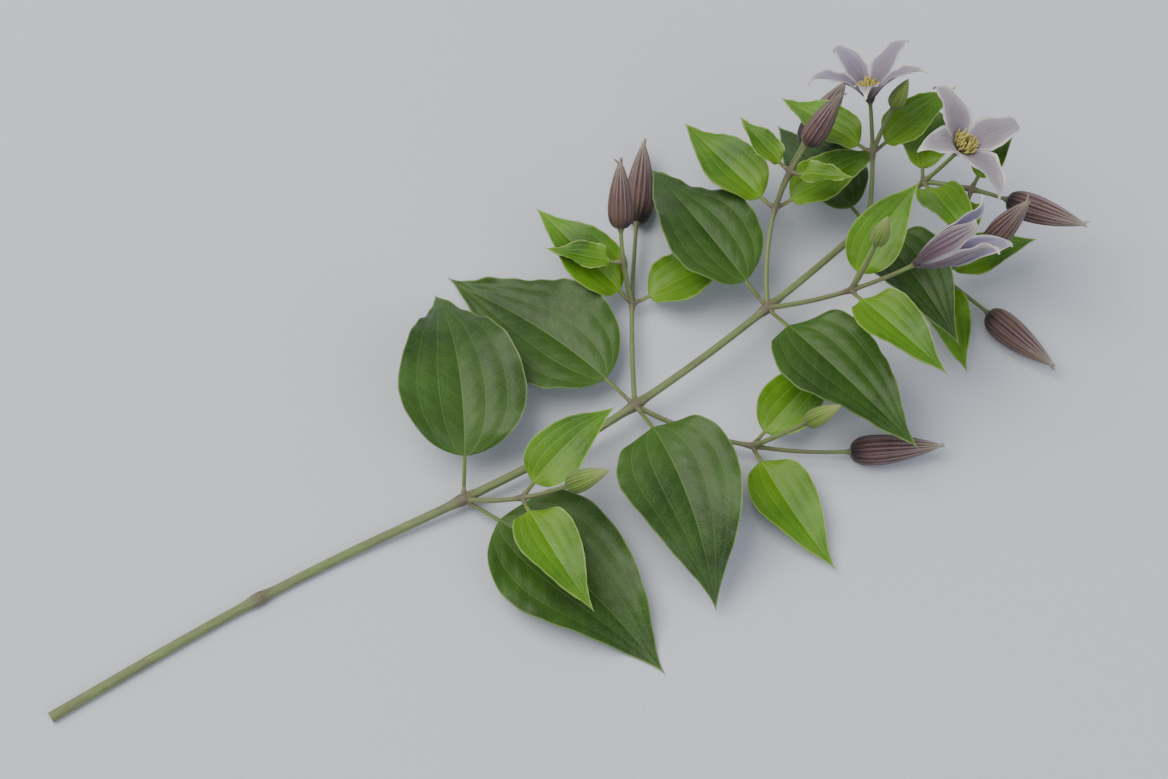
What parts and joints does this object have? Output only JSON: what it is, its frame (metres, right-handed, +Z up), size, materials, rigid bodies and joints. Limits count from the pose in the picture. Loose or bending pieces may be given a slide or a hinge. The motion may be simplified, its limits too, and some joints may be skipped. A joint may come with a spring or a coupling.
{
  "type": "cut clematis stem",
  "caption": "Cut clematis stem lying flat, with paired pointed leaves, flowering shoots from their axils, ribbed closed buds, a half-open bell and open star blossoms.",
  "frame": {"origin": "the flat spot under the bare lower stem that lies on the surface, 52 mm from the cut end", "axes": "+Y along the stem from its cut end to its blossoms, +Z up from the surface it lies on, +X to the right of the stem seen from above"},
  "size_m": [0.2291, 0.5006, 0.1079],
  "materials": {
    "stem_green": "living green stem, satin, slightly ribbed",
    "leaf_green": "living leaf, satin, veined",
    "young_leaf_green": "young living leaf, satin",
    "bud_brown": "downy ribbed bud, dusky brown-purple",
    "bud_green": "unripe ribbed bud, lime green",
    "tepal_lilac": "thin downy tepal, pale lilac",
    "stamen_yellow": "powdery golden stamens"
  },
  "bodies": {
    "root": {"bud_left_3": "bud_brown", "bud_left_4": "bud_brown", "bud_right_3": "bud_brown", "bud_right_5": "bud_brown", "bud_side_left_3": "bud_brown", "bud_side_left_4": "bud_brown", "bud_side_right_5": "bud_brown", "bud_side_tip": "bud_brown", "green_bud_right_2": "bud_green", "green_bud_side_left_5": "bud_green", "green_bud_side_right_3": "bud_green", "green_bud_side_right_4": "bud_green", "leaf_left_2": "leaf_green", "leaf_left_3": "leaf_green", "leaf_left_3a": "young_leaf_green", "leaf_left_3b": "young_leaf_green", "leaf_left_4": "leaf_green", "leaf_left_4a": "young_leaf_green", "leaf_left_4b": "young_leaf_green", "leaf_left_5": "leaf_green", "leaf_left_5a": "young_leaf_green", "leaf_left_5b": "young_leaf_green", "leaf_right_2": "leaf_green", "leaf_right_2a": "young_leaf_green", "leaf_right_2b": "young_leaf_green", "leaf_right_3": "leaf_green", "leaf_right_3a": "young_leaf_green", "leaf_right_3b": "young_leaf_green", "leaf_right_4": "leaf_green", "leaf_right_4a": "young_leaf_green", "leaf_right_4b": "young_leaf_green", "leaf_right_5": "leaf_green", "leaf_right_5a": "young_leaf_green", "leaf_right_5b": "young_leaf_green", "leaf_side_left_3a": "young_leaf_green", "leaf_side_left_4a": "young_leaf_green", "leaf_side_left_4b": "young_leaf_green", "leaf_side_tip_a": "young_leaf_green", "leaf_side_tip_b": "young_leaf_green", "leaf_tip_a": "young_leaf_green", "leaf_tip_b": "young_leaf_green", "stamens_left_5": "stamen_yellow", "stamens_right_4": "stamen_yellow", "stamens_tip": "stamen_yellow", "stem": "stem_green", "tepals_left_5": "tepal_lilac", "tepals_right_4": "tepal_lilac", "tepals_tip": "tepal_lilac"}
  },
  "joints": []
}
